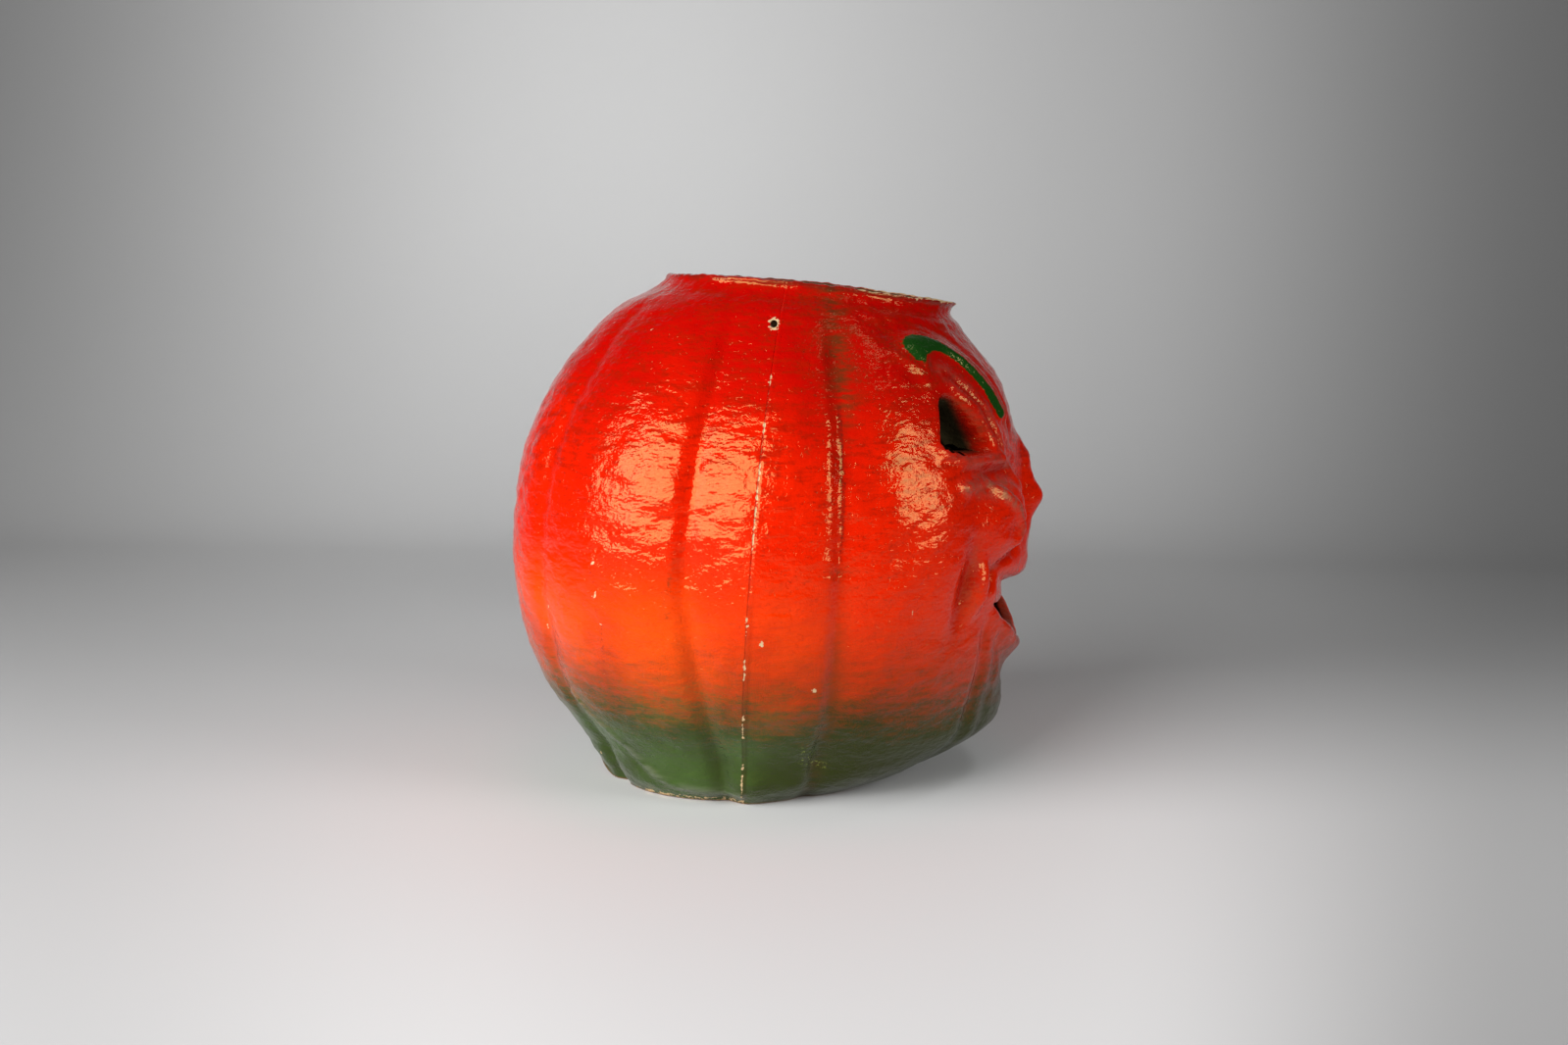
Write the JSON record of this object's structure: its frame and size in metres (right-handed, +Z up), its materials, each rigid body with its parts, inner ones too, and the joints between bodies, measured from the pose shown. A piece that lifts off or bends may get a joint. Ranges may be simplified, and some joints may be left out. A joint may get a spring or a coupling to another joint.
{
  "type": "paper pulp pumpkin lantern",
  "caption": "Round pressed-pulp pumpkin lantern with a wide open top, cut-out eyes and grin, a raised nose and cheeks, and a small hole at each side for a wire handle",
  "frame": {"origin": "middle of the footprint box, on the ground under the foot", "axes": "+Z up, the face looks along -Y, X across the face; the two pressed halves join along the X sides"},
  "size_m": [0.19, 0.1882, 0.1769],
  "materials": {
    "painted_pulp": "red-orange paint under gloss varnish, green at the foot and on the brows"
  },
  "bodies": {
    "root": {"lantern_shell": "painted_pulp"}
  },
  "joints": []
}
